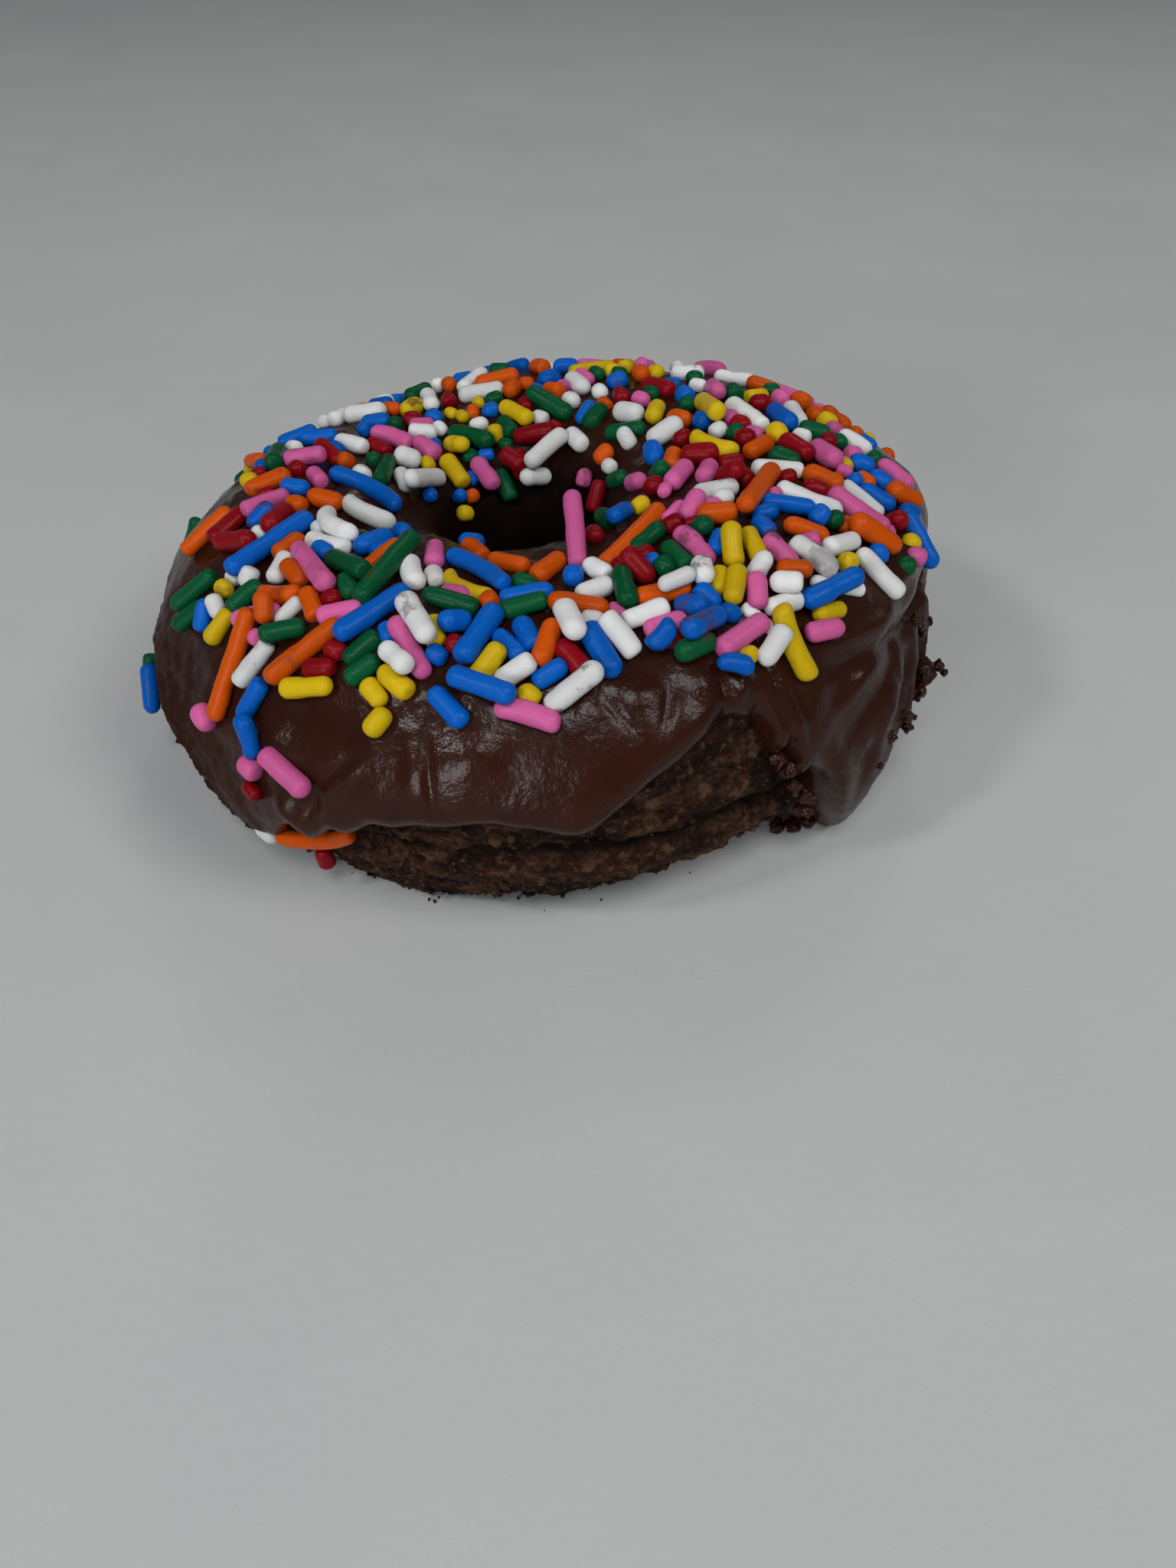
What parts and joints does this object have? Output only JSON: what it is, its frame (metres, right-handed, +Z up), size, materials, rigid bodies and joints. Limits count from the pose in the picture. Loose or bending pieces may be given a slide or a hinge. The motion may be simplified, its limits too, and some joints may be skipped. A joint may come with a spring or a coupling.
{
  "type": "sprinkle frosted doughnut",
  "caption": "Ring-shaped chocolate cake doughnut lying flat, with thick chocolate icing that covers its crown, dips into the hole and hangs to an uneven edge.",
  "frame": {"origin": "under the middle of the whole doughnut, on the surface that it lies on", "axes": "+Z up along the ring's axis, -Y towards the side where the icing edge lifts and shows the cake, +X to that side's right"},
  "size_m": [0.0874, 0.0856, 0.0343],
  "materials": {
    "chocolate_cake": "dry open crumb with a browned, cracked crust",
    "chocolate_icing": "smooth set icing with a satin gloss"
  },
  "bodies": {
    "root": {"doughnut_cake": "chocolate_cake", "chocolate_icing": "chocolate_icing"}
  },
  "joints": []
}
